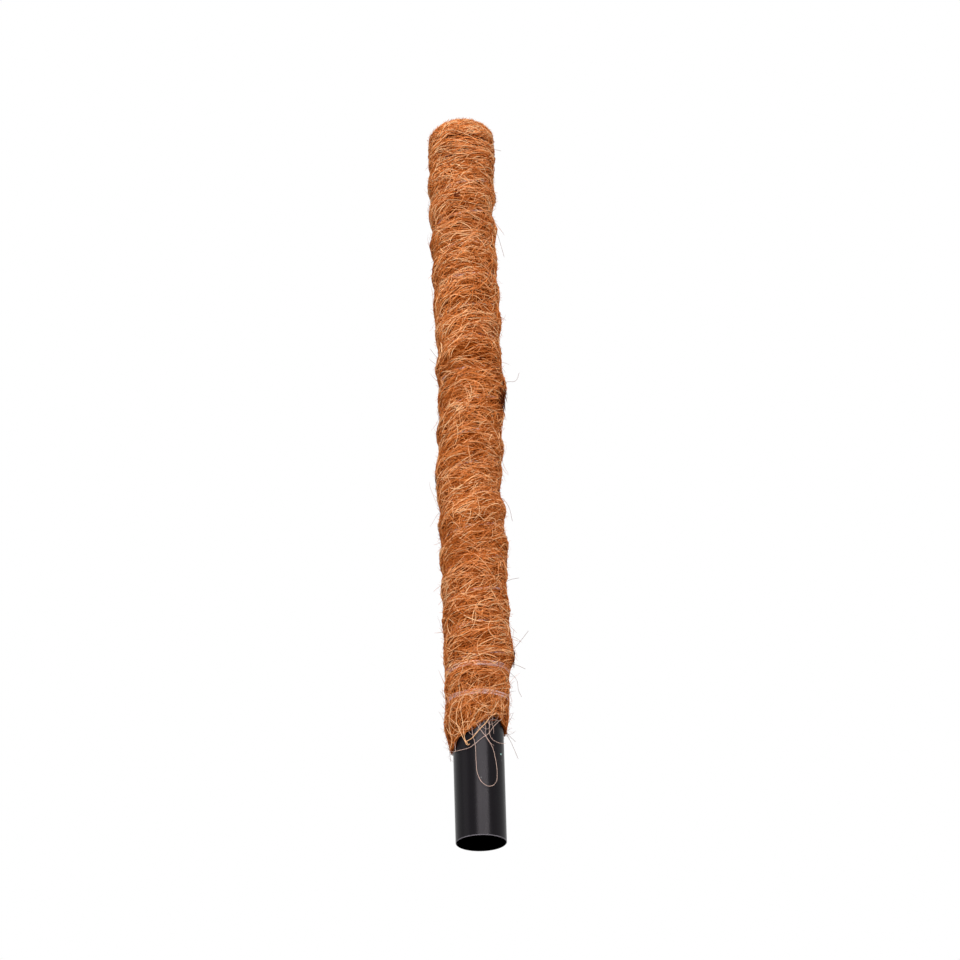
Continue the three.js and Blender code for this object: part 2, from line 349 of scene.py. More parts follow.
class ThreadSettings(bpy.types.PropertyGroup):
    """Sizes and colours of the binding thread."""

    filaments: count("Filaments", "Fine filaments that lie side by side", 6)
    steps: count("Steps", "Points in one turn of a filament", 48)
    thickness: length("Thickness", "Radius of one filament", 0.075)
    width: length("Width", "How far the outer filaments lie apart", 0.9)
    wander: length("Wander", "How far a filament strays from its place", 0.4)
    lift_low: length("Lift At The Top", "Mean height above the mat in the open turns", 0.2)
    lift_high: length("Lift At The Bottom", "Mean height above the mat in the lower ties", 0.81)
    lift_spread: length("Lift Spread", "How much that height varies", 0.7)
    pitch: length("Pitch", "Height of one open turn", 17.5)
    tie_pitch: length("Tie Pitch", "Height of one close turn in a tie", 1.5)
    tie_turns: number("Tie Turns", "Turns in each tie", 2)
    tie_spacing: length("Tie Spacing", "From one of the two lower ties to the other", 16.6)
    tie_inset: length("Tie Inset", "From the top of the sleeve to the first turn", 1.2)
    step_turns: number("Step Turns", "Part of a turn between the two lower ties", 0.6)
    ease_turns: number("Ease Turns", "Part of a turn over which the pitch changes", 0.25)
    hem_length: length("Hem Length", "Loose coir below the lowest turn", 20)
    pink: colour("Pink", "Paler colour of the thread", 236, 198, 184)
    lilac: colour("Lilac", "Deeper colour of the thread", 214, 170, 162)


class StageSettings(bpy.types.PropertyGroup):
    """Camera, floor and light."""

    elevation: angle("Elevation", "Height of the camera above the pole's foot, as an angle", -22)
    field: angle("Field Of View", "Angle that the picture takes in", 8)
    roll: angle("Roll", "Turn of the camera about its view", -1.68)
    distance: length("Distance", "From the camera to what it looks at", 3542.6)
    aim_side: length("Aim Side", "How far to the right of the axis the camera looks", 4.72)
    aim_height: length("Aim Height", "Height that the camera looks at", 197.8)
    key: number("Key", "Power of the strip light in front, in watts", 36)
    top: number("Top", "Power of the light above the front, on the left, in watts", 25)
    left: number("Left", "Power of the light on the left, in watts", 3)
    back: number("Back", "Power of the light behind, in watts", 14)
    ambient: share("Ambient", "Light from the white surroundings", 0.3)
    floor: colour("Floor", "Colour of the floor", 236, 235, 234)


GROUPS = {
    "tube": TubeSettings,
    "mat": MatSettings,
    "coir": CoirSettings,
    "thread": ThreadSettings,
    "stage": StageSettings,
    **{piece: piece_settings(piece, FIBRE_FIELDS, changes) for piece, changes in FIBRES.items()},
    **{piece: piece_settings(piece, HAND_FIELDS, changes) for piece, changes in HAND_LAID.items()},
}


class MossPoleSettings(bpy.types.PropertyGroup):
    """Everything that can be set."""

    __annotations__ = {name: PointerProperty(type=group) for name, group in GROUPS.items()}


# Node trees


class Term:
    """An output socket of a node tree, with the operators that expressions use."""

    def __init__(self, graph, socket):
        self.graph = graph
        self.socket = socket

    def __getitem__(self, name):
        """Another output of the same node."""
        return Term(self.graph, self.socket.node.outputs[name])

    def __add__(self, other):
        return self.graph.math("ADD", self, other)

    def __radd__(self, other):
        return self.graph.math("ADD", other, self)

    def __sub__(self, other):
        return self.graph.math("SUBTRACT", self, other)

    def __rsub__(self, other):
        return self.graph.math("SUBTRACT", other, self)

    def __mul__(self, other):
        if isinstance(other, tuple):
            return self.graph.vector("MULTIPLY", self, other)
        return self.graph.math("MULTIPLY", self, other)

    def __rmul__(self, other):
        return self.graph.math("MULTIPLY", other, self)

    def __truediv__(self, other):
        return self.graph.math("DIVIDE", self, other)

    def __rtruediv__(self, other):
        return self.graph.math("DIVIDE", other, self)

    def __neg__(self):
        return self.graph.math("MULTIPLY", self, -1)


class Graph:
    """Adds nodes to one tree."""

    def __init__(self, tree):
        self.tree = tree

    def node(self, kind, settings=None, sockets=None):
        """Adds a node by its type, settings and sockets, and gives its first live output."""
        made = self.tree.nodes.new(kind)
        for name, value in (settings or {}).items():
            if name == "stops":
                self.set_stops(made.color_ramp, value)
            elif name == "bends":
                self.set_bends(made.mapping, value)
            else:
                setattr(made, name, value)
        for name, value in (sockets or {}).items():
            self.feed(self.find(made.inputs, name), value)
        return Term(self, next((socket for socket in made.outputs if socket.enabled), None))

    def set_stops(self, ramp, stops):
        while len(ramp.elements) < len(stops):
            ramp.elements.new(1)
        for element, (place, shade) in zip(ramp.elements, stops):
            element.position = place
            element.color = (*shade, 1)

    def set_bends(self, mapping, bends):
        points = mapping.curves[0].points
        while len(points) < len(bends):
            points.new(0.5, 0.5)
        for point, bend in zip(points, bends):
            point.location = bend
            point.handle_type = "AUTO_CLAMPED"
        mapping.update()

    def find(self, sockets, name):
        """A socket by its index, its identifier or its name."""
        if isinstance(name, int):
            return sockets[name]
        return next((socket for socket in sockets if socket.identifier == name), None) or sockets[name]

    def feed(self, socket, value):
        if isinstance(value, Term):
            self.tree.links.new(value.socket, socket)
        elif socket.type == "RGBA" and len(value) == 3:
            socket.default_value = (*value, 1)
        else:
            socket.default_value = value

    def math(self, operation, *values):
        return self.node("ShaderNodeMath", {"operation": operation}, dict(enumerate(values)))

    def vector(self, operation, *values):
        return self.node("ShaderNodeVectorMath", {"operation": operation}, dict(enumerate(values)))

    def scaled(self, vector, factor):
        return self.node("ShaderNodeVectorMath", {"operation": "SCALE"}, {"Vector": vector, "Scale": factor})

    def xyz(self, x, y, z):
        return self.node("ShaderNodeCombineXYZ", {}, {"X": x, "Y": y, "Z": z})

    def sine(self, value):
        return self.math("SINE", value)

    def cosine(self, value):
        return self.math("COSINE", value)

    def square(self, value):
        return self.math("MULTIPLY", value, value)

    def noise(self, vector, scale, detail=2.0):
        """Noise from 0 to 1, mostly near a half."""
        return self.node("ShaderNodeTexNoise", {}, {"Vector": vector, "Scale": scale, "Detail": detail})

    def blend(self, factor, first, second, way="MIX"):
        """A mix of two colours."""
        sockets = {"Factor_Float": factor, "A_Color": first, "B_Color": second}
        return self.node("ShaderNodeMix", {"data_type": "RGBA", "blend_type": way}, sockets)


class Finish(Graph):
    """The node tree of one material."""

    def __init__(self, name):
        self.material = bpy.data.materials.new(name)
        self.material.use_nodes = True
        super().__init__(self.material.node_tree)
        self.tree.nodes.clear()
        self.place = self.node("ShaderNodeTexCoord")["Object"]

    def stretched(self, x, y, z):
        """Object coordinates with each axis scaled by itself."""
        return self.vector("MULTIPLY", self.place, (x, y, z))

    def surface(self, sockets):
        """Ends the tree in a Principled shader."""
        self.end(self.node("ShaderNodeBsdfPrincipled", {}, sockets))
        return self.material

    def end(self, shader):
        self.node("ShaderNodeOutputMaterial", {}, {"Surface": shader})


class Recipe(Graph):
    """A Geometry Nodes tree with named inputs, from which plain meshes are made."""

    def __init__(self, name):
        super().__init__(bpy.data.node_groups.new(name, "GeometryNodeTree"))
        self.tree.interface.new_socket("Geometry", in_out="OUTPUT", socket_type="NodeSocketGeometry")
        self.source = self.tree.nodes.new("NodeGroupInput")
        self.identifiers = {}

    def take(self, name, socket_type="NodeSocketFloat"):
        """Adds a named input."""
        item = self.tree.interface.new_socket(name, in_out="INPUT", socket_type=socket_type)
        self.identifiers[name] = item.identifier
        return Term(self, self.source.outputs[name])

    def take_mesh(self, name):
        """Adds a named input for an object, and gives its mesh."""
        chosen = self.take(name, "NodeSocketObject")
        return self.node("GeometryNodeObjectInfo", {}, {"Object": chosen})["Geometry"]

    def take_mats(self):
        """The two mats that fibres and thread lie on, as one mesh."""
        joined = self.node("GeometryNodeJoinGeometry")
        for name in ("Mat", "Cap"):
            self.tree.links.new(self.take_mesh(name).socket, joined.socket.node.inputs["Geometry"])
        return joined

    def strands(self, number_of, points):
        """Straight curves of that many points, for a field to put in place, and each one's index."""
        line = self.node("GeometryNodeResampleCurve", {}, {
            "Curve": self.node("GeometryNodeCurvePrimitiveLine"), "Count": points,
        })
        starts = self.node("GeometryNodePoints", {}, {"Count": number_of})
        copies = self.node("GeometryNodeInstanceOnPoints", {}, {"Points": starts, "Instance": line})
        curves = self.node("GeometryNodeRealizeInstances", {}, {"Geometry": copies})
        index = self.node("GeometryNodeFieldOnDomain", {"domain": "CURVE", "data_type": "INT"}, {
            "Value": self.node("GeometryNodeInputIndex"),
        })
        return curves, index

    def cast(self, mats, centre, direction):
        """Distance from a centre to the mats, or to the hem where there is no mat."""
        start = self.vector("ADD", centre, self.scaled(direction, FAR))
        hit = self.node("GeometryNodeRaycast", {}, {
            "Target Geometry": mats, "Source Position": start,
            "Ray Direction": self.scaled(direction, -1.0), "Ray Length": FAR,
        })
        return self.node("GeometryNodeSwitch", {"input_type": "FLOAT"}, {
            "Switch": hit, "False": HEM_RADIUS, "True": FAR - hit["Hit Distance"],
        })

    def free_edge(self, around):
        """Height of the coir's free edge at an angle."""
        bends = [
            (degrees / 360 + 0.5, (height * MM - EDGE_FLOOR) / EDGE_SPAN) for degrees, height in FREE_EDGE
        ]
        share_of_turn = self.math("FRACT", around / FULL_TURN + 0.5)
        edge = self.node("ShaderNodeFloatCurve", {"bends": bends}, {"Value": share_of_turn})
        return EDGE_FLOOR + EDGE_SPAN * edge

    def tubes(self, curves, radius, sides):
        """Closed tubes along curves."""
        ring = self.node("GeometryNodeCurvePrimitiveCircle", {}, {"Resolution": sides, "Radius": 1.0})
        return self.node("GeometryNodeCurveToMesh", {}, {
            "Curve": curves, "Profile Curve": ring, "Scale": radius, "Fill Caps": True,
        })

    def store(self, geometry, name, value, data_type="FLOAT", domain="POINT"):
        settings = {"data_type": data_type, "domain": domain}
        return self.node("GeometryNodeStoreNamedAttribute", settings, {
            "Geometry": geometry, "Name": name, "Value": value,
        })

    def map_faces(self, mesh):
        """Gives each face a square cell of its own in the UV map."""
        margin = 0.15
        corner = self.node("GeometryNodeFaceOfCorner")
        size = self.node("GeometryNodeAttributeDomainSize", {"component": "MESH"}, {"Geometry": mesh})
        across = self.math("CEIL", self.math("SQRT", size["Face Count"]))
        row = self.math("FLOOR", corner / across)
        column = corner - row * across
        place = corner["Index in Face"]
        # Corners 1 and 2 of a face lie at the right of its cell, and those after 1 at the top.
        right = self.math("LESS_THAN", self.math("ABSOLUTE", place - 1.5), 1.0)
        up = self.math("GREATER_THAN", place, 1.5)
        u = (column + margin + (1 - 2 * margin) * right) / across
        v = (row + margin + (1 - 2 * margin) * up) / across
        return self.store(mesh, BAKE_MAP, self.xyz(u, v, 0.0), "FLOAT2", "CORNER")

    def finish(self, mesh):
        """Ends the tree: smooth faces, real geometry and one material."""
        smooth = self.node("GeometryNodeSetShadeSmooth", {}, {"Geometry": mesh})
        real = self.node("GeometryNodeRealizeInstances", {}, {"Geometry": smooth})
        dressed = self.node("GeometryNodeSetMaterial", {}, {
            "Geometry": real, "Material": self.take("Material", "NodeSocketMaterial"),
        })
        self.node("NodeGroupOutput", {}, {"Geometry": dressed})
        return self

    def make(self, name, values):
        """A new object whose plain mesh this tree makes from the named values."""
        piece = new_object(name, bpy.data.meshes.new(name))
        modifier = piece.modifiers.new(self.tree.name, "NODES")
        modifier.node_group = self.tree
        for label, value in values.items():
            modifier[self.identifiers[label]] = value
        shown = piece.evaluated_get(bpy.context.evaluated_depsgraph_get())
        mesh = bpy.data.meshes.new_from_object(shown)
        piece.modifiers.remove(modifier)
        piece.data = mesh
        if not mesh.polygons:
            raise RuntimeError(f"{name} came out empty")
        return piece


# Helpers for pieces


def new_object(name, data):
    made = bpy.data.objects.new(name, data)
    bpy.context.scene.collection.objects.link(made)
    return made


def from_shell(name, shell, material):
    """A new object with one material from a bmesh, which is freed."""
    mesh = bpy.data.meshes.new(name)
    shell.to_mesh(mesh)
    shell.free()
    mesh.materials.append(material)
    return new_object(name, mesh)


def fit(piece, slot, *nodes):
    """Fixes a finished piece to the pole, with its finish and the solids that it stands for."""
    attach(piece, BODY)
    if nodes:
        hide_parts(*nodes)


def round_axis(degrees, height, radius):
    """A point at an angle round the pole, 0 on the +X side and -90 in front."""
    turn = math.radians(degrees)
    return Vector((radius * math.cos(turn), radius * math.sin(turn), height))


def on_mat(degrees, height, lift):
    """A point above the sleeve's mat, or above the hem where there is no mat, and the way outward there."""
    start = round_axis(degrees, height, FAR)
    outward = Vector((start.x, start.y, 0)).normalized()
    hit, spot, _, _ = bpy.data.objects["coir_mat"].ray_cast(start, -outward, distance=FAR)
    return (spot if hit else round_axis(degrees, height, HEM_RADIUS)) + outward * lift, outward


# Finishes

PALE_SPOT = (-30, 45 * MM)  # where a pale teal spot lies in the tube's colour: angle in degrees and height
PALE_SPOT_RADIUS = 0.45 * MM


def black_plastic(settings):
    """Satin black tube: fine draw lines, dust specks, and a pale roughened corner at the sawn end."""
    finish = Finish("black_plastic")
    lines = finish.noise(finish.stretched(1, 1, 0.02), 1900.0, 3.0)
    scuffs = finish.noise(finish.stretched(1, 1, 0.25), 260.0, 4.0)
    specks = finish.node("ShaderNodeTexVoronoi", {}, {"Vector": finish.place, "Scale": 150.0})
    dust = finish.math("LESS_THAN", specks["Distance"], 0.045)
    height = finish.node("ShaderNodeSeparateXYZ", {}, {"Vector": finish.place})["Z"]
    # Mask of the cut end's pale corner: partly roughened plastic, partly a painted highlight for the light
    # on the rim, which the floor keeps from it.
    sawn_rim_and_highlight = finish.math("LESS_THAN", height, settings.chamfer * 1.2)
    worn = finish.blend(scuffs * 0.5, settings.black, [3 * value for value in settings.black])
    dusty = finish.blend(dust * 0.35, worn, settings.dust)
    # A small pale teal spot in the base colour, round one point on the tube.
    pale_spot = round_axis(*PALE_SPOT, TUBE_RADIUS)
    away = finish.vector("LENGTH", finish.vector("SUBTRACT", finish.place, pale_spot))["Value"]
    spotted = finish.blend(finish.math("LESS_THAN", away, PALE_SPOT_RADIUS), dusty, settings.pale_spot)
    bump = finish.node("ShaderNodeBump", {}, {"Height": lines, "Strength": 0.12, "Distance": 0.1 * MM})
    return finish.surface({
        "Base Color": finish.blend(sawn_rim_and_highlight, spotted, settings.sawn_rim_and_highlight),
        "Roughness": 0.21 + 0.05 * lines + 0.08 * scuffs,
        "Specular IOR Level": 0.115,
        "Specular Tint": settings.gleam,
        "Normal": bump,
    })


def coir_felt(settings):
    """Dark felted coir in the depth of the wrap."""
    finish = Finish("coir_felt")
    grain = finish.noise(finish.stretched(1, 1, 2.5), 700.0, 3.0)
    bump = finish.node("ShaderNodeBump", {}, {"Height": grain, "Strength": 0.8, "Distance": 0.4 * MM})
    return finish.surface({
        "Base Color": finish.blend(grain, settings.dark, settings.pale),
        "Roughness": 0.9,
        "Specular IOR Level": 0.0,
        "Normal": bump,
    })


def coir_fibre(settings):
    """Coir fibre: each one's own tone, varied along it, in broad patches of warmer and duller colour."""
    finish = Finish("coir_fibre")
    tone = finish.node("ShaderNodeAttribute", {"attribute_name": TONE})["Fac"]
    along = finish.noise(finish.place, 260.0, 2.0)
    patches = finish.noise(finish.place, 45.0, 2.0)
    stops = ((0, settings.darkest), (0.35, settings.brown), (0.7, settings.tan), (1, settings.palest))
    ramp = finish.node("ShaderNodeValToRGB", {"stops": stops}, {"Fac": tone + 0.2 * (along - 0.5)})
    duller = finish.blend(1.0, ramp, settings.dulling, "MULTIPLY")
    return finish.surface({
        "Base Color": finish.blend(patches, ramp, duller),
        "Roughness": 0.55 + 0.3 * along,
        "Specular IOR Level": 0.05,
    })


def bleached_fibre(settings):
    """Thin pale fibres that hang below the hem."""
    finish = Finish("bleached_fibre")
    along = finish.noise(finish.place, 200.0, 2.0)
    return finish.surface({
        "Base Color": finish.blend(along, settings.bleached, [0.65 * value for value in settings.bleached]),
        "Roughness": 0.6,
        "Specular IOR Level": 0.1,
    })


def dry_husk(settings):
    """Dark flecks of coconut husk."""
    finish = Finish("dry_husk")
    grain = finish.noise(finish.place, 900.0, 3.0)
    return finish.surface({
        "Base Color": finish.blend(grain, [0.65 * value for value in settings.husk], settings.husk),
        "Roughness": 0.7 + 0.2 * grain,
        "Specular IOR Level": 0.0,
    })


def pale_thread(settings):
    """Shiny synthetic filaments, lilac and pink by turns."""
    finish = Finish("pale_thread")
    patches = finish.noise(finish.place, 160.0, 3.0)
    return finish.surface({
        "Base Color": finish.blend(patches, settings.pink, settings.lilac),
        "Roughness": 0.35 + 0.2 * patches,
        "Specular IOR Level": 0.25,
    })


# Pieces

SHARP_CORNER = math.radians(30)  # past which an edge of the tube isn't shaded smooth


def tube_profile(settings):
    """Radius and height of each corner of the tube's wall, from the bore's lower end round."""
    outer = TUBE_RADIUS - settings.chamfer
    bore = TUBE_RADIUS - settings.wall
    return [
        (bore, 0),
        (outer, 0),
        (TUBE_RADIUS, settings.chamfer),
        (TUBE_RADIUS, TUBE_TOP - settings.chamfer),
        (outer, TUBE_TOP),
        (bore, TUBE_TOP),
    ]


def turned_tube(name, settings, material):
    """The tube as a smooth turned wall."""
    profile = tube_profile(settings)
    shell = bmesh.new()
    rings = []
    for side in range(settings.sides):
        degrees = 360 * side / settings.sides
        rings.append([shell.verts.new(round_axis(degrees, height, radius)) for radius, height in profile])
    for here, there in zip(rings, rings[1:] + rings[:1]):
        for i in range(len(profile)):
            j = (i + 1) % len(profile)
            shell.faces.new((here[i], there[i], there[j], here[j]))
    bmesh.ops.recalc_face_normals(shell, faces=shell.faces)
    tube = from_shell(name, shell, material)
    tube.data.shade_smooth()
    tube.data.set_sharp_from_angle(angle=SHARP_CORNER)
    return tube


# Swells and hollows of the wrap: angle in degrees, height, half height and rise in millimetres.
SWELLS = (
    (-4, 247, 15, 3.0), (-6, 157, 9, 1.6), (-4, 121, 17, 1.3), (-8, 100, 7, 3.6), (0, 195, 7, -2.2),
    (0, 377, 6, -1.6), (-2, 350, 6, -1.2), (-4, 288, 18, 1.2), (180, 271, 6, -1.4), (182, 241, 14, -1.4),
    (178, 198, 7, 1.9), (180, 365, 24, 0.9), (186, 399, 6, -2.2), (-4, 398, 5, -0.8), (-96, 172, 13, 0.9),
    (-82, 254, 12, 1.0), (-104, 316, 12, 0.8), (-80, 118, 11, 1.0), (84, 140, 14, 1.2), (100, 230, 16, -1.0),
    (78, 320, 15, 1.2), (110, 90, 10, 1.0),
)
SWELL_REACH = 11  # how far a swell reaches round the pole, in millimetres
MERGE_DISTANCE = 0.01 * MM  # corners of the solid's triangles that are closer become one
SKIN_DEPTH = 2.6 * MM  # the outer side lies no deeper than this below the crown
CAP_GAP = 1 * MM  # from this far above the tube, all of the mat is outer side
# Heights over which the groove gain sets in below the top and above the free edge, and where they start, in
# shares of them.
TOP_FADE, TOP_CLEAR = 6 * MM, 0.5
EDGE_FADE, EDGE_CLEAR = 10 * MM, 1.8
TUCK_HEIGHT = 20 * MM  # how far above the free edge the coir is drawn in
SHIFT_HEIGHT = 30 * MM  # how far above it the mat follows the edge as it is laid


def mat_recipe():
    """Felted coir: a solid's surface, rounded, drawn in and ridged along the wrap."""
    recipe = Recipe("coir_mat")
    solid = recipe.take_mesh("Solid")
    inset, ridge, gain = recipe.take("Inset"), recipe.take("Ridge"), recipe.take("Groove Gain")
    long_way, short_way = recipe.take("Ridge Length"), recipe.take("Ridge Width")
    whole = recipe.node("GeometryNodeMergeByDistance", {}, {"Geometry": solid, "Distance": MERGE_DISTANCE})
    fine = recipe.node("GeometryNodeSubdivisionSurface", {}, {"Mesh": whole, "Level": 2})
    place = recipe.node("GeometryNodeInputPosition")
    squeezed = recipe.vector("DIVIDE", place, recipe.xyz(long_way, long_way, short_way))
    hills = recipe.noise(squeezed, 1.0, 2.0)
    split = recipe.node("ShaderNodeSeparateXYZ", {}, {"Vector": place})
    level = place * (1, 1, 0)
    radius = recipe.vector("LENGTH", level)
    around = recipe.math("ARCTAN2", split["Y"], split["X"])
    modelled = BARE_LENGTH + EDGE_SLANT * recipe.cosine(around)
    over_edge = split["Z"] - modelled
    outer = recipe.math("GREATER_THAN", radius, CROWN_RADIUS - SKIN_DEPTH)
    outside = recipe.math("MAXIMUM", outer, recipe.math("GREATER_THAN", split["Z"], TUBE_TOP + CAP_GAP))
    below = recipe.math("MAXIMUM", (SLEEVE_TOP - split["Z"]) / TOP_FADE - TOP_CLEAR, 0.0)
    above = recipe.math("MAXIMUM", over_edge / EDGE_FADE - EDGE_CLEAR, 0.0)
    bound = recipe.math("MINIMUM", recipe.math("MINIMUM", below, above), 1.0)
    rise = ridge * (hills - 0.5) - inset + gain * (radius - CROWN_RADIUS) * bound * outer
    for degrees, height, half_height, swell in SWELLS:
        middle = round_axis(degrees, height * MM, CROWN_RADIUS)
        away = recipe.vector("SUBTRACT", place, middle) * (1 / SWELL_REACH, 1 / SWELL_REACH, 1 / half_height)
        fall = recipe.math("EXPONENT", -recipe.square(recipe.vector("LENGTH", away) / MM))
        rise = rise + swell * MM * fall * outside
    rim = recipe.math("MAXIMUM", 1 - over_edge / TUCK_HEIGHT, 0.0)
    drawn = recipe.scaled(level, (TUBE_RADIUS / radius - 1) * HEM_TUCK * recipe.square(rim))
    near = recipe.math("MAXIMUM", 1 - over_edge / SHIFT_HEIGHT, 0.0)
    hem = recipe.vector("ADD", drawn, recipe.xyz(0.0, 0.0, (recipe.free_edge(around) - modelled) * near))
    shift = recipe.vector("ADD", recipe.scaled(recipe.node("GeometryNodeInputNormal"), rise), hem)
    moved = recipe.node("GeometryNodeSetPosition", {}, {"Geometry": fine, "Offset": shift})
    return recipe.finish(moved)


LOOSE_TURN = 0.3  # share of the fray by which the bend varies within a bundle
SLIP = 0.3  # share of its length by which a fibre is shifted along its bundle
TIP_GAP = 1 * MM  # fibres of the skirt stay this far from the dome's tip
TOP_GAP = 6 * MM  # fibres of the sleeve stay this far below the pole's top
LEAST_RISE = 0.2  # share of the rise that every tip has
TONE_OWN, TONE_BUNDLE, TONE_PAINTED_SHADE = 0.31, 0.03, 0.16  # what chance and the bundle add to a tone, and the painted shade that darkens fibres lying lower
FIBRE_SIDES = 3


def fibre_recipe(lay):
    """Fibres in bundles, each a wavy arc, cast onto the mats.

    They are rolled round the sleeve or round the cap's skirt, or laid over its dome.
    """
    recipe = Recipe(lay + "_fibres")
    mats = recipe.take_mats()
    size = SimpleNamespace()
    for field, (kind, label, _, _) in FIBRE_FIELDS.items():
        setattr(size, field, recipe.take(label, "NodeSocketInt" if kind is count else "NodeSocketFloat"))
    curves, strand = recipe.strands(size.count, size.points)
    bundle = recipe.math("FLOOR", strand / size.bundle)
    salts = itertools.count()

    def draw(owner, low=-1.0, high=1.0):
        return recipe.node("FunctionNodeRandomValue", {"data_type": "FLOAT"}, {
            "Min_001": low, "Max_001": high, "ID": owner, "Seed": size.seed + next(salts),
        })

    def bell(owner):
        return draw(owner) * draw(owner, 0.0)

    along = recipe.node("GeometryNodeSplineParameter") - 0.5
    end = recipe.square(2 * along)
    reach = size.length * (1 + size.length_spread * draw(strand))
    hand = 2 * recipe.math("GREATER_THAN", draw(bundle), 0.0) - 1
    turn = hand * (size.turn + size.turn_spread * bell(bundle)) + LOOSE_TURN * size.fray * bell(strand)
    bend = turn * along
    phase = along * reach / size.wave_length + draw(strand)
    forward = reach / turn * recipe.sine(bend) + SLIP * reach * draw(strand)
    wave = size.wave * recipe.sine(FULL_TURN * phase)
    sideways = reach / turn * (1 - recipe.cosine(bend)) + wave + size.bundle_width * bell(strand)
    heading = size.slope + size.slope_spread * bell(bundle) + size.fray * bell(strand)
    east = forward * recipe.cosine(heading) - sideways * recipe.sine(heading)
    north = forward * recipe.sine(heading) + sideways * recipe.cosine(heading)
    bearing = draw(bundle, 0.0, FULL_TURN)
    level = draw(bundle, size.low, size.high)
    around = bearing + east / CROWN_RADIUS
    from_top = recipe.math("MAXIMUM", level - north, TIP_GAP)
    if lay == "dome":
        outward = level + east
        x = outward * recipe.cosine(bearing) - north * recipe.sine(bearing)
        y = outward * recipe.sine(bearing) + north * recipe.cosine(bearing)
        from_top = recipe.math("SQRT", recipe.square(x) + recipe.square(y))
        around = recipe.math("ARCTAN2", y, x)
    if lay == "sleeve":
        slant = recipe.math("MAXIMUM", 1 - (level - BARE_LENGTH) / SLANT_REACH, 0.0) * recipe.cosine(around)
        fold = recipe.free_edge(around) - size.overhang * draw(strand, 0.0)
        above = level + north + LAID_SLANT * slant - size.arch * recipe.sine(around) - fold
        height = fold + recipe.math("SQRT", recipe.square(above) + FOLD_ROUND ** 2)
        direction = recipe.xyz(recipe.cosine(around), recipe.sine(around), 0.0)
        centre = recipe.xyz(0.0, 0.0, recipe.math("MINIMUM", height, POLE_TOP - TOP_GAP))
    else:
        tilt = from_top / CROWN_RADIUS
        flat = recipe.sine(tilt)
        direction = recipe.xyz(flat * recipe.cosine(around), flat * recipe.sine(around), recipe.cosine(tilt))
        centre = recipe.xyz(0.0, 0.0, DOME_CENTRE)
    pile = draw(strand)
    stand = size.rise * draw(strand, LEAST_RISE) * recipe.square(along + 0.5)
    heap = size.bundle_lift * draw(bundle) + size.weave * recipe.sine(FULL_TURN * (phase + draw(strand)))
    lift = size.lift + heap + size.lift_spread * pile - size.tuck * recipe.square(end) + stand
    ground = recipe.math("MAXIMUM", recipe.cast(mats, centre, direction), size.least)
    spot = recipe.vector("ADD", centre, recipe.scaled(direction, ground + lift))
    laid = recipe.node("GeometryNodeSetPosition", {}, {"Geometry": curves, "Position": spot})
    # Painted shade: a fibre whose pile draw lays it lower gets a darker tone.
    tone = 0.5 + TONE_OWN * draw(strand) + TONE_BUNDLE * draw(bundle) + TONE_PAINTED_SHADE * pile
    toned = recipe.store(laid, TONE, size.tone_low + (size.tone_high - size.tone_low) * tone)
    girth = size.thickness * (1 + size.thickness_spread * draw(strand))
    tubes = recipe.tubes(toned, girth * (1 - size.taper * recipe.square(end)), FIBRE_SIDES)
    return recipe.finish(recipe.map_faces(tubes))


def lay_fibres(name, lay="sleeve", finish="coir_fibre"):
    """One piece of fibres on the mats, with its own settings."""
    recipe = RECIPES.get(lay) or RECIPES.setdefault(lay, fibre_recipe(lay))
    settings = getattr(bpy.context.scene.moss_pole, name)
    values = {label: getattr(settings, field) for field, (_, label, _, _) in FIBRE_FIELDS.items()}
    values["Mat"] = bpy.data.objects["coir_mat"]
    values["Cap"] = bpy.data.objects["cap_mat"]
    values["Material"] = bpy.data.materials[finish]
    fit(recipe.make(name, values), "coir")


def winding_stretches(settings):
    """Turns and pitch of each stretch of the thread, from its upper end down."""
    top = SLEEVE_TOP - settings.tie_inset
    bottom = BARE_LENGTH + settings.hem_length
    tie_drop = settings.tie_turns * settings.tie_pitch
    span = top - bottom - settings.tie_spacing - 2 * tie_drop
    close_turns = 3 * settings.tie_turns + settings.step_turns
    open_turns = round(span / settings.pitch + close_turns) - close_turns
    tie = (settings.tie_turns, settings.tie_pitch)
    step = (settings.step_turns, (settings.tie_spacing - tie_drop) / settings.step_turns)
    return [tie, (open_turns, span / open_turns), tie, step, tie]


FILAMENT_STEP = 37.0  # how far apart the filaments read the noise that they wander by
SIDE_WANDER, HEIGHT_WANDER = 2.6, 4.2  # how quickly a filament wanders to the sides, and up and down
HEIGHT_OFFSET = 500.0  # where the noise is read for the second of these
TIE_FADE = 0.05  # share of the thread over which it comes up to its height in the lower ties
FILAMENT_SIDES = 4


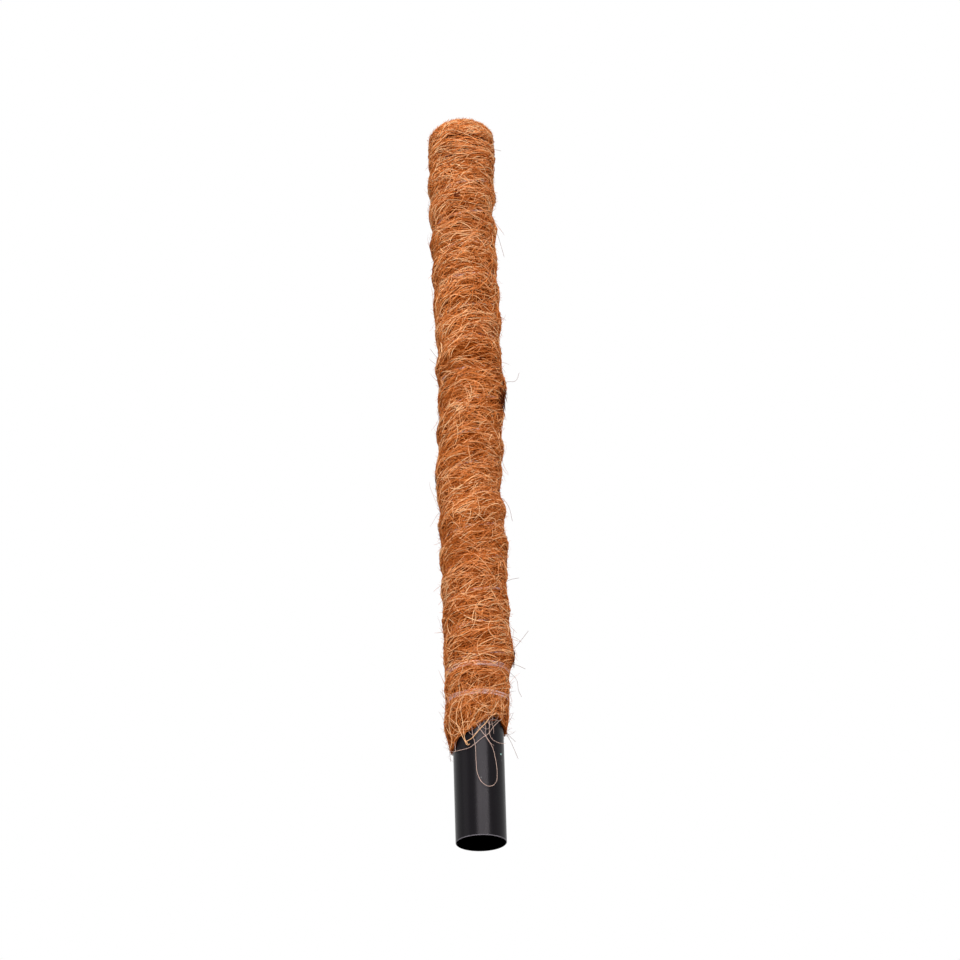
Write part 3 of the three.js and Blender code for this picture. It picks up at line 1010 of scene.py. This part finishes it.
def thread_recipe(stretches, ease):
    """Fine filaments side by side, wound down the wrap in ties and open turns."""
    recipe = Recipe("winding_thread")
    mats = recipe.take_mats()
    filaments, points = recipe.take("Filaments", "NodeSocketInt"), recipe.take("Points", "NodeSocketInt")
    thickness, width, wander = recipe.take("Thickness"), recipe.take("Width"), recipe.take("Wander")
    lift_low, lift_high = recipe.take("Lift At The Top"), recipe.take("Lift At The Bottom")
    lift_spread, top = recipe.take("Lift Spread"), recipe.take("Top")
    curves, filament = recipe.strands(filaments, points)
    gone = recipe.node("GeometryNodeSplineParameter")
    total = sum(stretch[0] for stretch in stretches)
    turns = gone * total
    tie_start = 1 - sum(stretch[0] for stretch in stretches[2:]) / total

    def stray(offset, quickness):
        """A slow wander along one filament, between -1 and 1."""
        w = turns * quickness + filament * FILAMENT_STEP + offset
        return 2 * recipe.node("ShaderNodeTexNoise", {"noise_dimensions": "1D"}, {"W": w, "Scale": 1.0}) - 1

    drop = turns * stretches[0][1]
    start = -0.5 * ease
    for (before, old_pitch), (_, new_pitch) in zip(stretches, stretches[1:]):
        start += before
        past = recipe.math("MAXIMUM", turns - start, 0.0)
        easing = recipe.math("MINIMUM", past, ease)
        drop = drop + (new_pitch - old_pitch) * (easing * easing / (2 * ease) + past - easing)
    around = turns * -FULL_TURN
    place = filament / (filaments - 1) - 0.5
    height = top - drop + width * place + wander * stray(0.0, SIDE_WANDER)
    direction = recipe.xyz(recipe.cosine(around), recipe.sine(around), 0.0)
    centre = recipe.xyz(0.0, 0.0, height)
    ties = recipe.math("MINIMUM", recipe.math("MAXIMUM", (gone - tie_start) / TIE_FADE, 0.0), 1.0)
    lift = lift_low + (lift_high - lift_low) * ties + lift_spread * stray(HEIGHT_OFFSET, HEIGHT_WANDER)
    radius = recipe.cast(mats, centre, direction) + lift
    spot = recipe.vector("ADD", centre, recipe.scaled(direction, radius))
    laid = recipe.node("GeometryNodeSetPosition", {}, {"Geometry": curves, "Position": spot})
    return recipe.finish(recipe.map_faces(recipe.tubes(laid, thickness, FILAMENT_SIDES)))


# Single fibres placed one by one: angles in degrees, heights in millimetres, and radii where they stand off.
HEM_LOOPS = {
    "hanging loop": (
        (-103, 65.5), (-103, 60), (-102, 55.8), (-100.5, 52.5), (-97, 48.7), (-96, 44.9), (-95.6, 38.4),
        (-92.6, 31.4), (-81, 26.6), (-67, 25.7), (-54.3, 28.4), (-51, 32.8), (-52, 37.6), (-55, 41.7),
        (-59.3, 45.9), (-68, 49.9), (-78, 53.4), (-86, 56.1), (-94, 59.5),
    ),
    "long sweep": (
        (-162, 48), (-157, 47.3), (-141, 46.5), (-127, 46.2), (-108, 46.6), (-95, 48.7), (-82, 51.4),
        (-69, 53.7), (-57, 57.9), (-36, 62.8), (-17, 67),
    ),
    "right sweep": (
        (-67, 64), (-67, 60.8), (-66.4, 57.6), (-66, 53.8), (-61.5, 51.3), (-50, 50.1), (-35, 50.2),
        (-16, 51.7),
    ),
    "left tip": ((-147, 54), (-146, 51), (-145.5, 48.5), (-145.5, 46.6)),
}
HEM_HAIRS = {
    "first": ((-58, 65), (-58.4, 62.2), (-60, 60), (-56.6, 56.9), (-56.5, 54.2)),
    "second": ((-78, 63), (-77, 60), (-74, 57), (-75.4, 54.2), (-69, 50), (-56.6, 47.7)),
    "third": ((-92, 61), (-81.5, 57.4), (-68.5, 56.5), (-63, 61.5), (-39, 62.2), (-30, 64)),
    "fourth": ((-72, 62), (-66, 59), (-58, 59.5), (-48, 62), (-40, 66)),
    "fifth": ((-112, 58), (-106, 54), (-98, 53.5), (-90, 56), (-84, 60)),
}
HEM_FIBRES = {
    "first drop": (
        (-101, 75.5), (-110.5, 74.6), (-119, 73), (-123, 70.7), (-127, 67), (-130, 63.5), (-131.5, 61),
        (-130, 58.1), (-124.7, 54.5), (-117, 50.3), (-111, 47.8), (-106.7, 48.2),
    ),
    "second drop": (
        (-114, 74), (-118.8, 70), (-119.5, 65.8), (-119, 61.4), (-119.5, 58), (-118.3, 53.6), (-115.3, 50.2),
        (-110.5, 48.3),
    ),
    "edge line": (
        (-115.4, 49.7), (-102.6, 51.1), (-94.3, 53.4), (-86, 56), (-75.7, 58.8), (-64.7, 62.8),
        (-55.3, 64.5), (-42, 65.4), (-21, 66.8),
    ),
    "low slant": ((-150, 66), (-146.8, 64.5), (-135, 60.9), (-126, 57.4)),
    "short level": ((-122, 59.6), (-117.4, 60.2), (-104, 60.4), (-95, 61.8)),
    "level line": (
        (-97, 67), (-90.8, 66.1), (-78.5, 65.3), (-65.7, 65), (-59.6, 66.6), (-53, 69.1), (-48, 72),
    ),
    "left line": ((-160, 60), (-150, 56), (-140, 55), (-128, 56.5), (-118, 60)),
}
WRAP_FIBRES = {
    "kinked": ((-159, 185.1), (-138.4, 182.1), (-123.9, 180.1), (-123.1, 175.5), (-120.9, 171.1)),
    "slanted": ((-87.4, 150.7), (-78.7, 148.5), (-66.6, 144.6), (-47.9, 137.6)),
    "looped": ((-79.1, 181.1), (-77.5, 173.4), (-81, 170.9), (-99.7, 170.7), (-115.5, 174.6)),
    "curl": (
        (-47.6, 117.6), (-24.9, 116.3), (-21.9, 111.1), (-46.9, 104.6), (-65.1, 106.8), (-66.4, 112.2),
        (-45, 118.5),
    ),
}
OUTLYING_HAIRS = {
    "right of the hem": ((4, 62, 13), (-2, 58.2, 14.4), (-8, 52.1, 17), (-9, 43.4, 20.2)),
    "right of the hem, short": ((-8, 60.9, 13), (2, 58.1, 15.2), (8, 54.8, 19)),
    "left of the hem": ((188, 60.6, 13), (182, 52.6, 14.7), (176, 44.5, 14.4)),
    "left of the hem, short": ((180, 59.5, 13), (180, 61.7, 14.5), (180, 64.5, 17.7)),
    "from the nub": ((0, 96.1, 17.5), (0, 95.4, 20.4), (0, 93.1, 25.1)),
    "long, at the right": ((0, 102.1, 16.7), (0, 104.2, 19.3), (0, 109, 23.5), (0, 113.9, 27.2)),
    "bent, at the right": ((0, 91.7, 16.9), (0, 87.3, 20.4), (0, 81.8, 21.2), (0, 78, 22.6)),
    "level, at the right": ((0, 139.9, 15.2), (0, 142, 18.3), (0, 143, 23.3)),
    "arc, at the right": ((0, 187.4, 16), (0, 182.9, 18.9), (0, 174.5, 20.8)),
    "rising, at the right": ((0, 250, 17.7), (0, 252.2, 20.4), (0, 252.6, 24.5), (0, 257.1, 26.7)),
    "falling, at the left": ((180, 264.6, 14.1), (180, 267.4, 16.1), (180, 272.1, 19.2)),
    "near the top": ((0, 387.2, 14.1), (0, 385.7, 16.2), (0, 384.1, 20.9)),
    "below the top": ((0, 341.1, 15), (0, 336.4, 17.5), (0, 331.2, 18.9), (0, 323.1, 20.8)),
}


def hand_laid(name, routes, finish="coir_fibre"):
    """Fibres along routes that were chosen by hand, as one mesh. Those with no radii lie on the mat."""
    settings = getattr(bpy.context.scene.moss_pole, name)
    curve = bpy.data.curves.new(name, "CURVE")
    curve.dimensions = "3D"
    curve.bevel_depth = settings.thickness
    curve.bevel_resolution = 1
    curve.resolution_u = 5
    curve.use_fill_caps = True
    for places in routes.values():
        spline = curve.splines.new("BEZIER")
        spline.bezier_points.add(len(places) - 1)
        for point, (degrees, height, *radius) in zip(spline.bezier_points, places):
            if radius:
                point.co = round_axis(degrees, height * MM, radius[0] * MM)
            else:
                point.co = on_mat(degrees, height * MM, settings.lift)[0]
            point.handle_left_type = point.handle_right_type = "AUTO"
    drawn = new_object(name + "_line", curve)
    mesh = bpy.data.meshes.new_from_object(drawn.evaluated_get(bpy.context.evaluated_depsgraph_get()))
    bpy.data.objects.remove(drawn)
    tones = mesh.attributes.new(TONE, "FLOAT", "POINT").data
    tones.foreach_set("value", [settings.tone] * len(tones))
    mesh.shade_smooth()
    mesh.materials.clear()
    mesh.materials.append(bpy.data.materials[finish])
    fit(new_object(name, mesh), "coir")


# Tufts of dark husk: angle and half angle in degrees, height, half height, reach and lift in mm, shards.
HUSK_TUFTS = (
    (-17, 12, 242, 5, 5, 0.9, 44), (-9, 8, 98, 2, 3, 0.9, 9), (178, 8, 196, 3, 4, 0.9, 7),
    (-100, 7, 352.5, 1.2, 2.2, 0.75, 13), (60, 8, 300, 3, 5, 0.9, 6), (110, 8, 150, 3, 5, 0.9, 6),
)
SHARD_LENGTH = (0.6, 1.3)  # least and greatest length, as a share of the tuft's reach
SHARD_WIDTH = (0.5 * MM, 1.4 * MM)
SHARD_LEAN = (-0.5, 0.5)  # to the sides
SHARD_RISE = (0.05, 0.25)  # off the wrap
SHARD_THICKNESS = 0.12 * MM
SHARD_ARCH = 0.25 * MM  # how far the broadest part stands off
SHARD_BROADEST = 0.4  # where that is along the shard


def husk_tufts(name, tufts, seed):
    """Small sheaves of flat, pointed shards that lie on the wrap, with their tips off it."""
    chance = random.Random(seed)
    shell = bmesh.new()
    for degrees, half_angle, height, half_height, reach, lift, shards in tufts:
        for _ in range(shards):
            level = (height + chance.uniform(-half_height, half_height)) * MM
            root, outward = on_mat(degrees + chance.uniform(-half_angle, half_angle), level, lift * MM)
            sideways = Vector((-outward.y, outward.x, 0))
            lean = sideways * chance.uniform(*SHARD_LEAN) + Vector((0, 0, chance.choice((-1, -1, 1))))
            far = reach * chance.uniform(*SHARD_LENGTH) * MM
            tip = root + (outward * chance.uniform(*SHARD_RISE) + lean).normalized() * far
            across = (tip - root).cross(outward).normalized() * chance.uniform(*SHARD_WIDTH)
            thick = (tip - root).cross(across).normalized() * SHARD_THICKNESS
            middle = root.lerp(tip, SHARD_BROADEST) + outward * SHARD_ARCH
            ring = [shell.verts.new(middle + step) for step in (across, thick, -across, -thick)]
            ends = [shell.verts.new(root), shell.verts.new(tip)]
            for here, there in zip(ring, ring[1:] + ring[:1]):
                shell.faces.new((here, there, ends[1]))
                shell.faces.new((there, here, ends[0]))
    bmesh.ops.recalc_face_normals(shell, faces=shell.faces)
    fit(from_shell(name, shell, bpy.data.materials["dry_husk"]), "coir")


# Stage

FLOOR_NEAR, FLOOR_FAR = 0.25, 1.1  # radii between which the floor fades out
FLOOR_DROP = 0.1 * MM  # how far it lies below the tube's end
# Place of each light, its width and height, and the height on the pole's axis that it is aimed at.
LIGHTS = {
    "key": ((0.4, -1.9, 0.84), 1.9, 0.32, POLE_TOP / 2),
    "top": ((-0.3, -1.3, 1.5), 1.0, 0.5, 0.3),
    "left": ((-1.8, -0.8, 0.6), 1.0, 1.0, POLE_TOP / 2),
    "back": ((0.3, 1.5, 2.0), 1.0, 1.0, POLE_TOP / 2),
}


def white_surroundings(ambient):
    """A world that looks white, and lights the pole softly from all round."""
    world = bpy.data.worlds.new("white_surroundings")
    world.use_nodes = True
    world.node_tree.nodes.clear()
    graph = Graph(world.node_tree)
    path = graph.node("ShaderNodeLightPath")
    glossy = graph.math("MAXIMUM", path["Is Glossy Ray"], path["Is Transmission Ray"])
    seen = graph.math("MAXIMUM", path["Is Camera Ray"], glossy)
    strength = ambient + (1 - ambient) * seen
    light = graph.node("ShaderNodeBackground", {}, {"Color": (1, 1, 1, 1), "Strength": strength})
    graph.node("ShaderNodeOutputWorld", {}, {"Surface": light})
    bpy.context.scene.world = world


def pale_floor(settings):
    """A floor that is seen only from above, and fades into the white surroundings."""
    finish = Finish("pale_floor")
    away = finish.vector("LENGTH", finish.place)["Value"]
    fade = finish.node("ShaderNodeMapRange", {"interpolation_type": "SMOOTHSTEP"}, {
        "Value": away, "From Min": FLOOR_NEAR, "From Max": FLOOR_FAR,
    })
    under = finish.node("ShaderNodeNewGeometry")["Backfacing"]
    solid = finish.node("ShaderNodeBsdfDiffuse", {}, {"Color": settings.floor})
    clear = finish.node("ShaderNodeBsdfTransparent")
    unseen = finish.math("MAXIMUM", fade, under)
    finish.end(finish.node("ShaderNodeMixShader", {}, {0: unseen, 1: solid, 2: clear}))
    shell = bmesh.new()
    bmesh.ops.create_circle(shell, cap_ends=True, segments=96, radius=FLOOR_FAR)
    bmesh.ops.translate(shell, verts=shell.verts, vec=(0, 0, -FLOOR_DROP))
    from_shell("floor", shell, finish.material)


def soft_light(name, power, place, width, height, aim):
    """A soft light, aimed at that height on the pole's axis."""
    lamp = bpy.data.lights.new(name, "AREA")
    lamp.shape = "RECTANGLE"
    lamp.size = width
    lamp.size_y = height
    lamp.energy = power
    made = new_object(name, lamp)
    made.location = place
    made.rotation_mode = "QUATERNION"
    made.rotation_quaternion = (Vector((0, 0, aim)) - Vector(place)).to_track_quat("-Z", "Y")


def photo_camera(settings):
    """The camera at the viewing angle of the photograph."""
    aim = Vector((settings.aim_side, 0, settings.aim_height))
    back = Vector((0, -math.cos(settings.elevation), math.sin(settings.elevation)))
    lens = bpy.data.cameras.new("photo_camera")
    lens.angle = settings.field
    camera = new_object("photo_camera", lens)
    camera.location = aim + back * settings.distance
    camera.rotation_mode = "QUATERNION"
    camera.rotation_quaternion = (-back).to_track_quat("-Z", "Y") @ Quaternion((0, 0, 1), settings.roll)
    bpy.context.scene.camera = camera


# Operators


class MOSSPOLE_OT_tube(bpy.types.Operator):
    """Turns the black plastic tube"""

    bl_idname = "mosspole.tube"
    bl_label = "Tube"

    def execute(self, context):
        settings = context.scene.moss_pole.tube
        tube = turned_tube("black_tube", settings, black_plastic(settings))
        fit(tube, "tube_plastic", "core_tube")
        return {"FINISHED"}


class MOSSPOLE_OT_mats(bpy.types.Operator):
    """Felts the coir of the sleeve and of the cap"""

    bl_idname = "mosspole.mats"
    bl_label = "Coir Mats"

    def execute(self, context):
        settings = context.scene.moss_pole.mat
        recipe = mat_recipe()
        felt_and_painted_shade = coir_felt(settings)
        for name, node in (("coir_mat", "coir_sleeve"), ("cap_mat", "coir_top_cap")):
            values = {
                "Solid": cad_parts[node], "Inset": settings.inset, "Ridge": settings.ridge,
                "Groove Gain": settings.gain, "Ridge Length": settings.ridge_length,
                "Ridge Width": settings.ridge_width, "Material": felt_and_painted_shade,
            }
            fit(recipe.make(name, values), "coir", node)
        coir_fibre(context.scene.moss_pole.coir)
        dry_husk(context.scene.moss_pole.coir)
        return {"FINISHED"}


class MOSSPOLE_OT_wrap(bpy.types.Operator):
    """Lays the fibres of the wrap in bands, from the hem to the cap"""

    bl_idname = "mosspole.wrap"
    bl_label = "Wrap Fibres"

    def execute(self, context):
        for i in range(len(WRAP_BANDS)):
            lay_fibres(f"coir_wrap_{i + 1}")
        return {"FINISHED"}


class MOSSPOLE_OT_loose(bpy.types.Operator):
    """Lays single fibres across the wrap, and curls"""

    bl_idname = "mosspole.loose"
    bl_label = "Crossing Fibres"

    def execute(self, context):
        lay_fibres("coir_crossing")
        lay_fibres("coir_upper_crossing")
        lay_fibres("coir_curls")
        hand_laid("coir_single_fibres", WRAP_FIBRES)
        return {"FINISHED"}


class MOSSPOLE_OT_hem(bpy.types.Operator):
    """Tangles the free edge of the coir, with a few loops that hang in front of the tube"""

    bl_idname = "mosspole.hem"
    bl_label = "Hem"

    def execute(self, context):
        bleached_fibre(context.scene.moss_pole.coir)
        lay_fibres("coir_hem_tangle")
        lay_fibres("coir_hem_arcs")
        hand_laid("coir_hem_loops", HEM_LOOPS, "bleached_fibre")
        hand_laid("coir_hem_hairs", HEM_HAIRS, "bleached_fibre")
        hand_laid("coir_hem_fibres", HEM_FIBRES)
        return {"FINISHED"}


class MOSSPOLE_OT_cap(bpy.types.Operator):
    """Lays fibres over the domed cap"""

    bl_idname = "mosspole.cap"
    bl_label = "Cap Fibres"

    def execute(self, context):
        lay_fibres("coir_crown_fibres")
        lay_fibres("coir_skirt_fibres", "skirt")
        lay_fibres("coir_cap_fibres", "dome")
        lay_fibres("coir_cap_crossing", "dome")
        return {"FINISHED"}


class MOSSPOLE_OT_fuzz(bpy.types.Operator):
    """Raises the fine fuzz and a few long strays"""

    bl_idname = "mosspole.fuzz"
    bl_label = "Fuzz"

    def execute(self, context):
        lay_fibres("coir_fuzz")
        lay_fibres("coir_cap_fuzz", "skirt")
        lay_fibres("coir_strays")
        lay_fibres("coir_hem_strays")
        hand_laid("coir_outlying_hairs", OUTLYING_HAIRS)
        return {"FINISHED"}


class MOSSPOLE_OT_husk(bpy.types.Operator):
    """Adds flecks and tufts of dark husk"""

    bl_idname = "mosspole.husk"
    bl_label = "Husk"

    def execute(self, context):
        lay_fibres("husk_flecks", finish="dry_husk")
        husk_tufts("husk_tufts", HUSK_TUFTS, seed=5)
        return {"FINISHED"}


class MOSSPOLE_OT_thread(bpy.types.Operator):
    """Winds the binding thread down the wrap"""

    bl_idname = "mosspole.thread"
    bl_label = "Binding Thread"

    def execute(self, context):
        settings = context.scene.moss_pole.thread
        stretches = winding_stretches(settings)
        turns = sum(stretch[0] for stretch in stretches)
        recipe = thread_recipe(stretches, settings.ease_turns)
        thread = recipe.make("winding_thread", {
            "Filaments": settings.filaments, "Points": round(turns * settings.steps),
            "Thickness": settings.thickness, "Width": settings.width, "Wander": settings.wander,
            "Lift At The Top": settings.lift_low, "Lift At The Bottom": settings.lift_high,
            "Lift Spread": settings.lift_spread, "Top": SLEEVE_TOP - settings.tie_inset,
            "Mat": bpy.data.objects["coir_mat"], "Cap": bpy.data.objects["cap_mat"],
            "Material": pale_thread(settings),
        })
        fit(thread, "thread", "binding_thread")
        return {"FINISHED"}


class MOSSPOLE_OT_stage(bpy.types.Operator):
    """Sets the camera, the floor and the light"""

    bl_idname = "mosspole.stage"
    bl_label = "Stage"

    def execute(self, context):
        settings = context.scene.moss_pole.stage
        context.scene.view_settings.view_transform = "Standard"
        white_surroundings(settings.ambient)
        pale_floor(settings)
        for name, place_and_size in LIGHTS.items():
            soft_light(name + "_light", getattr(settings, name), *place_and_size)
        photo_camera(settings)
        return {"FINISHED"}


class MOSSPOLE_PT_panel(bpy.types.Panel):
    """Lists the steps that dress the pole"""

    bl_idname = "MOSSPOLE_PT_panel"
    bl_label = "Moss Pole"
    bl_space_type = "VIEW_3D"
    bl_region_type = "UI"
    bl_category = "Moss Pole"

    def draw(self, context):
        for step in STEPS:
            self.layout.operator(step.bl_idname)


STEPS = (
    MOSSPOLE_OT_tube,
    MOSSPOLE_OT_mats,
    MOSSPOLE_OT_wrap,
    MOSSPOLE_OT_loose,
    MOSSPOLE_OT_hem,
    MOSSPOLE_OT_cap,
    MOSSPOLE_OT_fuzz,
    MOSSPOLE_OT_husk,
    MOSSPOLE_OT_thread,
    MOSSPOLE_OT_stage,
)
CLASSES = (*GROUPS.values(), MossPoleSettings, *STEPS, MOSSPOLE_PT_panel)


def register():
    for made in CLASSES:
        bpy.utils.register_class(made)
    bpy.types.Scene.moss_pole = PointerProperty(type=MossPoleSettings)


def unregister():
    del bpy.types.Scene.moss_pole
    for made in reversed(CLASSES):
        bpy.utils.unregister_class(made)


def main():
    register()
    bpy.ops.mosspole.tube()
    bpy.ops.mosspole.mats()
    bpy.ops.mosspole.wrap()
    bpy.ops.mosspole.loose()
    bpy.ops.mosspole.hem()
    bpy.ops.mosspole.cap()
    bpy.ops.mosspole.fuzz()
    bpy.ops.mosspole.husk()
    bpy.ops.mosspole.thread()
    bpy.ops.mosspole.stage()


if __name__ == "__main__":
    main()
